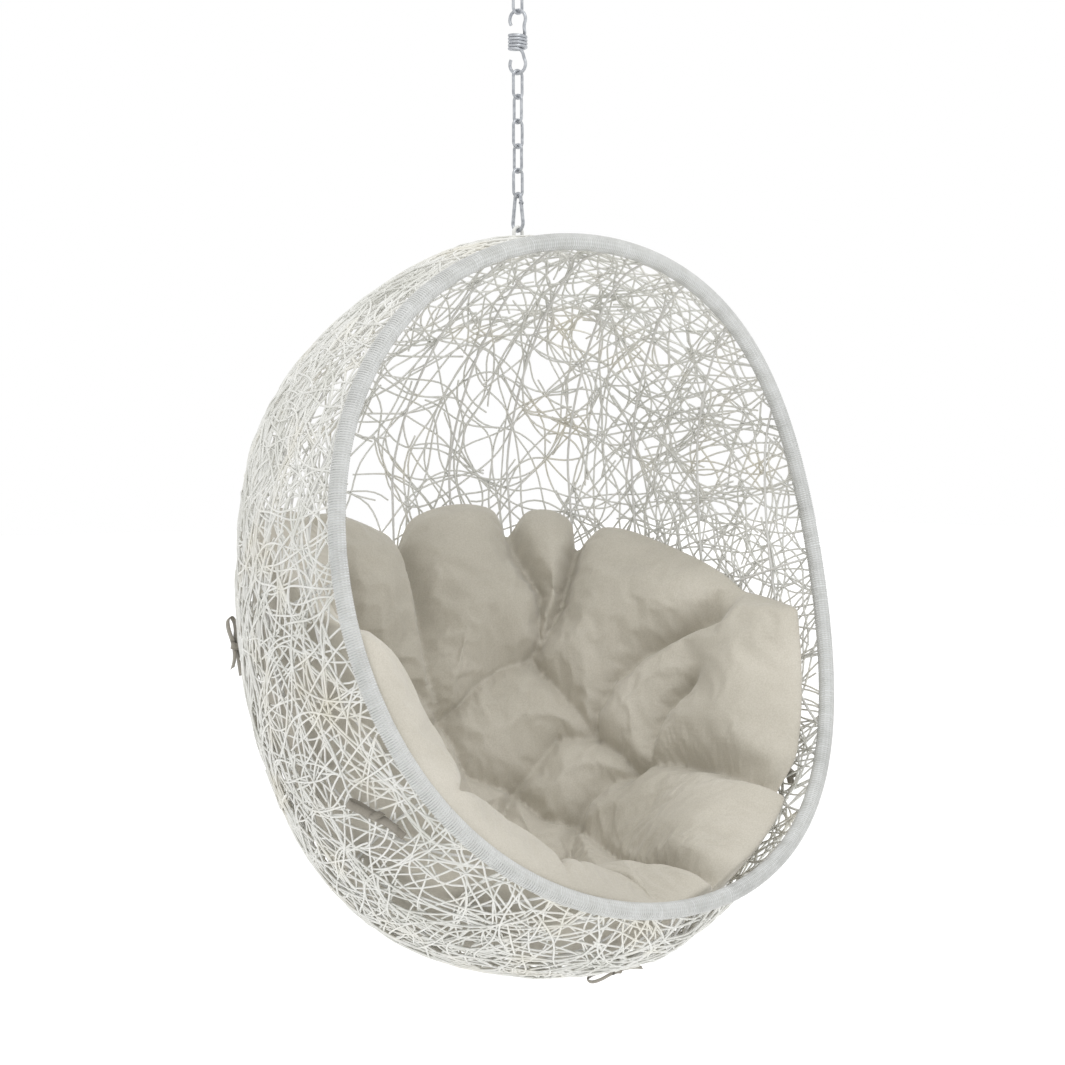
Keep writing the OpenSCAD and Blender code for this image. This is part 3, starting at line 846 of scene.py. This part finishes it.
class EGGCHAIR_OT_cushion(bpy.types.Operator):
    """Sews and fills the tufted cushion"""

    bl_idname = "eggchair.cushion"
    bl_label = "Cushion"

    def execute(self, context):
        look = context.scene.egg_cushion
        mesh = bpy.data.meshes.new("cushion_pad")
        shape = bmesh.new()
        bmesh.ops.create_icosphere(shape, subdivisions=7, radius=1.0)
        shape.to_mesh(mesh)
        shape.free()
        sewn, rest = shape_cushion(mesh, look)
        pad = link_piece("cushion_pad", mesh)
        self.fill(context, pad, sewn, rest)
        mesh.shade_smooth()
        ease = pad.modifiers.new("ease", "SUBSURF")
        ease.levels = ease.render_levels = 1
        dress(pad, cloth_material("spun_polyester", look.light, look.mid, look.shade, 0.0016, 0.25))
        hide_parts("cushion")
        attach(pad, "basket")
        return {"FINISHED"}

    def fill(self, context, pad, sewn, rest):
        """Swells the cover with cloth simulation: seams and back are held, the lobes wrinkle."""
        group = pad.vertex_groups.new(name="sewn")
        for level in range(1, 11):
            members = np.flatnonzero(np.round(sewn * 10).astype(int) == level)
            group.add(members.tolist(), level / 10, "REPLACE")
        cover = pad.modifiers.new("cover", "CLOTH")
        cloth = cover.settings
        cloth.vertex_group_mass = "sewn"
        cloth.quality = 5
        cloth.mass = 0.25
        cloth.tension_stiffness = cloth.compression_stiffness = 18
        cloth.shear_stiffness = 8
        cloth.bending_stiffness = 0.12
        cloth.use_pressure = True
        cloth.uniform_pressure_force = 4
        cloth.shrink_min = cloth.shrink_max = -0.04
        cloth.effector_weights.gravity = 0
        cover.collision_settings.use_collision = False
        scene = context.scene
        for number in range(1, 19):
            scene.frame_set(number)
        graph = context.evaluated_depsgraph_get()
        filled = bpy.data.meshes.new_from_object(pad.evaluated_get(graph))
        moved = np.zeros(len(filled.vertices) * 3)
        filled.vertices.foreach_get("co", moved)
        shift = moved.reshape(-1, 3) - rest
        far = np.linalg.norm(shift, axis=1, keepdims=True)
        cap = 0.024
        shift *= np.minimum(1, cap / np.maximum(far, 1e-9))
        pad.modifiers.remove(cover)
        bpy.data.meshes.remove(filled)
        pad.data.vertices.foreach_set("co", (rest + shift).ravel())
        pad.data.update()
        scene.frame_set(1)


# ---------------------------------------------------------------- ribbon ties

RIBBON_WIDE = 0.012
# Each bow: its CAD node, its direction from the basket's middle, and which way its loop points
BOWS = [
    ("tie_left_side", (-0.68, 0.73, 0.04), (0.2, 0.35, 1.0)),
    ("tie_left_low", (-0.82, 0.12, -0.55), (-0.95, 0.75, 0.25)),
    ("tie_base", (0.13, 0.40, -0.91), (-0.78, 0.62, -0.02)),
    ("tie_right_low", (0.82, 0.12, -0.55), (0.95, 0.75, 0.25)),
    ("tie_right_side", (0.68, 0.73, 0.04), (-0.2, 0.35, 1.0)),
]
# The ribbon's middle line in millimetres: along the loop, across it, and out from the basket
BOW_COURSE = [
    (-50, 9, 3), (-34, 5, 4), (-16, 1, 5), (0, 0, 7), (16, 1, 8), (32, 3, 7), (46, 4, 9), (52, 3, 14),
    (45, 1, 19), (30, -1, 18), (14, -1, 14), (0, -1, 11), (-14, -3, 10), (-28, -6, 11), (-42, -11, 14),
]
KNOT_COURSE = [(5, 7, 2), (6, 8, 10), (4, 3, 15), (1, -4, 15), (-3, -9, 9), (-4, -8, 2)]


def eased_course(points, steps):
    """A smooth course through points, with `steps` pieces between neighbours."""
    points = [2 * Vector(points[0]) - Vector(points[1])] + [Vector(p) for p in points]
    points.append(2 * points[-1] - points[-2])
    course = []
    for a, b, c, d in zip(points, points[1:], points[2:], points[3:]):
        for step in range(steps):
            t = step / steps
            course.append(
                0.5 * (2 * b + (c - a) * t + (2 * a - 5 * b + 4 * c - d) * t * t
                       + (3 * b - a - 3 * c + d) * t**3)
            )
    return course + [points[-2]]


def lay_ribbon(shape, course, across, wide):
    """Adds a flat ribbon along a course to a bmesh; returns its length."""
    laid = bmesh.ops.create_grid(shape, x_segments=len(course) - 1, y_segments=2, size=0.5)
    columns = sorted(laid["verts"], key=lambda v: (round(v.co.x, 6), v.co.y))
    for index, vert in enumerate(columns):
        i, row = divmod(index, 3)
        onward = course[min(i + 1, len(course) - 1)] - course[max(i - 1, 0)]
        level = across[i] - onward * (across[i].dot(onward) / max(onward.length_squared, 1e-12))
        crease = 0.06 * (1 if row == 1 else 0) * wide
        vert.co = course[i] + level.normalized() * (row - 1) * wide / 2
        vert.co += level.cross(onward).normalized() * crease
    return sum((b - a).length for a, b in zip(course, course[1:]))


class EGGCHAIR_OT_ties(bpy.types.Operator):
    """Ties the ribbon bows that hold the cushion to the weave"""

    bl_idname = "eggchair.ties"
    bl_label = "Ribbon ties"

    def execute(self, context):
        look = context.scene.egg_cushion
        cloth = cloth_material("ribbon_twill", look.ribbon, look.ribbon, "#827d73", 0.0012, 0.15)
        for node, d, loop in BOWS:
            d = unit(np.array(d))[None]
            root, out = Vector(skin(d, np.array([0.004]))[0]), Vector(outward(d)[0])
            along = (Vector(loop) - out * Vector(loop).dot(out)).normalized()
            axes = Matrix((along, out.cross(along), out)).transposed()
            course = [p * 0.001 for p in eased_course(BOW_COURSE, 4)]
            knot = [p * 0.001 for p in eased_course(KNOT_COURSE, 4)]
            shape = bmesh.new()
            tilt = [Vector((0, 0.8, 0.6))] * len(course)
            length = lay_ribbon(shape, course, tilt, RIBBON_WIDE)
            length += lay_ribbon(shape, knot, [Vector((1, 0.1, 0))] * len(knot), RIBBON_WIDE)
            bmesh.ops.transform(shape, matrix=Matrix.Translation(root) @ axes.to_4x4(), verts=shape.verts)
            mesh = bpy.data.meshes.new(node + "_bow")
            shape.to_mesh(mesh)
            shape.free()
            mesh.shade_smooth()
            bow = link_piece(node + "_bow", mesh)
            thick = bow.modifiers.new("thick", "SOLIDIFY")
            thick.thickness, thick.offset = 0.0009, 0
            dress(bow, cloth)
            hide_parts(node)
            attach(bow, "basket")
        return {"FINISHED"}


# ---------------------------------------------------------------- stage

VIEW_AZIMUTH = math.radians(-42)
VIEW_ELEVATION = math.radians(3)
VIEW_DISTANCE = 3.854
RIM_MIDDLE = Vector((0, -0.205, -0.973))


class EGGCHAIR_OT_stage(bpy.types.Operator):
    """Sets the floor, the lights and the camera"""

    bl_idname = "eggchair.stage"
    bl_label = "Stage"

    def execute(self, context):
        scene = context.scene
        back = Vector(
            (
                math.sin(VIEW_AZIMUTH) * math.cos(VIEW_ELEVATION),
                -math.cos(VIEW_AZIMUTH) * math.cos(VIEW_ELEVATION),
                math.sin(VIEW_ELEVATION),
            )
        )
        right = Vector((math.cos(VIEW_AZIMUTH), math.sin(VIEW_AZIMUTH), 0))
        up = back.cross(right)
        lens = bpy.data.cameras.new("camera")
        lens.lens, lens.sensor_width = 79.95, 36
        lens.shift_x, lens.shift_y = -0.063, 0.0378
        lens.clip_end = 60
        camera = bpy.data.objects.new("camera", lens)
        camera.matrix_world = Matrix.Translation(RIM_MIDDLE + back * VIEW_DISTANCE) @ Matrix(
            (right, up, back)
        ).transposed().to_4x4()
        scene.collection.objects.link(camera)
        scene.camera = camera

        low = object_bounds()[0]
        mesh = bpy.data.meshes.new("floor")
        shape = bmesh.new()
        bmesh.ops.create_grid(shape, x_segments=1, y_segments=1, size=30)
        bmesh.ops.translate(shape, verts=shape.verts, vec=(0, 0, low[2] - 0.45))
        shape.to_mesh(mesh)
        shape.free()
        floor = link_piece("floor", mesh)
        material, tree, out = new_material("studio_paper")
        shader = add_node(
            tree,
            "ShaderNodeBsdfPrincipled",
            {
                "Base Color": linear("#fcfcfc"),
                "Roughness": 0.9,
                "Emission Color": linear("#ffffff"),
                "Emission Strength": 0.22,
            },
        )
        tree.links.new(shader.outputs[0], out.inputs["Surface"])
        dress(floor, material)
        floor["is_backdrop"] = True

        world = bpy.data.worlds.new("studio")
        world.use_nodes = True
        world.node_tree.nodes["Background"].inputs["Color"].default_value = linear("#ffffff")
        world.node_tree.nodes["Background"].inputs["Strength"].default_value = 1.0
        # White all round at eye height, brighter overhead
        tree = world.node_tree
        way = add_node(tree, "ShaderNodeTexCoord").outputs["Generated"]
        height = add_node(tree, "ShaderNodeSeparateXYZ", None, {"Vector": way}).outputs["Z"]
        level = add_node(
            tree,
            "ShaderNodeMapRange",
            {"From Min": 0.3, "From Max": 1.0, "To Min": 1.0, "To Max": 1.12},
            {"Value": height},
        )
        tree.links.new(level.outputs["Result"], tree.nodes["Background"].inputs["Strength"])
        scene.world = world
        scene.view_settings.view_transform = "Standard"

        def soft_light(name, place, size, power):
            light = bpy.data.lights.new(name, "AREA")
            light.shape = "SQUARE"
            light.size, light.energy = size, power
            lamp = bpy.data.objects.new(name, light)
            lamp.location = place
            aim = RIM_MIDDLE - Vector(place)
            lamp.rotation_euler = aim.to_track_quat("-Z", "Y").to_euler()
            scene.collection.objects.link(lamp)

        soft_light("key", (-0.6, -1.7, 1.9), 1.2, 27)
        return {"FINISHED"}


# ---------------------------------------------------------------- panel and registration


class EGGCHAIR_PT_panel(bpy.types.Panel):
    """Lists the chair's makers and settings"""

    bl_label = "Egg Chair"
    bl_idname = "EGGCHAIR_PT_panel"
    bl_space_type = "VIEW_3D"
    bl_region_type = "UI"
    bl_category = "Egg Chair"

    def draw(self, context):
        layout = self.layout
        for operator in OPERATORS:
            layout.operator(operator.bl_idname)
        for name in GROUPS:
            box = layout.box()
            settings = getattr(context.scene, name)
            for key in settings.__annotations__:
                box.prop(settings, key)


GROUPS = {
    "egg_weave": EggChairWeave,
    "egg_rim": EggChairRim,
    "egg_cushion": EggChairCushion,
    "egg_metal": EggChairMetal,
}
OPERATORS = (
    EGGCHAIR_OT_weave,
    EGGCHAIR_OT_rim,
    EGGCHAIR_OT_ribs,
    EGGCHAIR_OT_suspension,
    EGGCHAIR_OT_cushion,
    EGGCHAIR_OT_ties,
    EGGCHAIR_OT_stage,
)


def register():
    for group in GROUPS.values():
        bpy.utils.register_class(group)
    for name, group in GROUPS.items():
        setattr(bpy.types.Scene, name, bpy.props.PointerProperty(type=group))
    for item in OPERATORS + (EGGCHAIR_PT_panel,):
        bpy.utils.register_class(item)


def unregister():
    for item in reversed(OPERATORS + (EGGCHAIR_PT_panel,)):
        bpy.utils.unregister_class(item)
    for name, group in GROUPS.items():
        delattr(bpy.types.Scene, name)
        bpy.utils.unregister_class(group)


def main():
    register()
    for operator in OPERATORS:
        area, verb = operator.bl_idname.split(".")
        getattr(getattr(bpy.ops, area), verb)()


if __name__ == "__main__":
    main()
